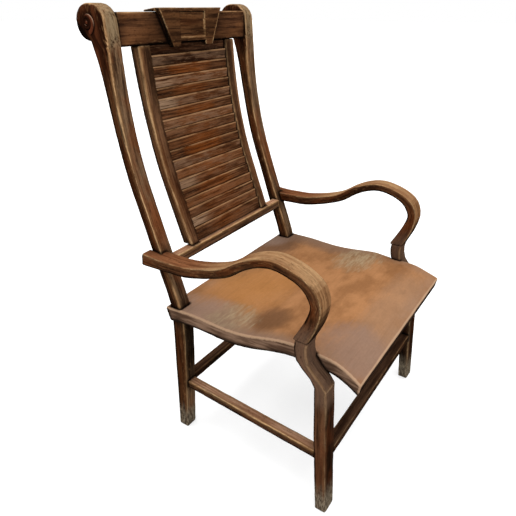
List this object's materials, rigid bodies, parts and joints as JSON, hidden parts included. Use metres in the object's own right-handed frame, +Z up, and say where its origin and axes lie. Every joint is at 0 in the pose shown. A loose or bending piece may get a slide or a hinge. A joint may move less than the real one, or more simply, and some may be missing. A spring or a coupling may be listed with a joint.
{
  "type": "armchair",
  "caption": "High-backed wooden armchair with scroll-topped posts, a slatted curved back, a keystone headrest, bent C-shaped arms and a dished plank seat.",
  "frame": {"origin": "on the floor, midway between the sides and midway from the seat front to the back of the scrolls", "axes": "+Z up, +Y to the back of the chair, +X to the left hand of someone sitting in it"},
  "size_m": [0.622, 0.736, 1.085],
  "materials": {
    "frame_wood": "worn dark hardwood, rubbed to tan on the arrises",
    "seat_wood": "worn orange-brown plank with dusty grey edges",
    "crest_wood": "dark reddish-brown hardwood with fine grain",
    "slat_wood": "mixed dark and orange-brown slats with rubbed upper edges"
  },
  "bodies": {
    "root": {"rear_post_left": "frame_wood", "rear_post_right": "frame_wood", "front_post_left": "frame_wood", "front_post_right": "frame_wood", "arm_left": "frame_wood", "arm_right": "frame_wood", "stile_left": "frame_wood", "stile_right": "frame_wood", "lower_back_rail": "frame_wood", "front_stretcher": "frame_wood", "rear_stretcher": "frame_wood", "side_stretcher_left": "frame_wood", "side_stretcher_right": "frame_wood", "seat": "seat_wood", "crest_rail": "crest_wood", "headrest_block": "crest_wood", "top_rail": "slat_wood", "slat_01": "slat_wood", "slat_02": "slat_wood", "slat_03": "slat_wood", "slat_04": "slat_wood", "slat_05": "slat_wood", "slat_06": "slat_wood", "slat_07": "slat_wood", "slat_08": "slat_wood", "slat_09": "slat_wood", "slat_10": "slat_wood", "slat_11": "slat_wood", "slat_12": "slat_wood", "slat_13": "slat_wood", "slat_14": "slat_wood", "slat_15": "slat_wood", "slat_16": "slat_wood", "slat_17": "slat_wood", "slat_18": "slat_wood"}
  },
  "joints": []
}
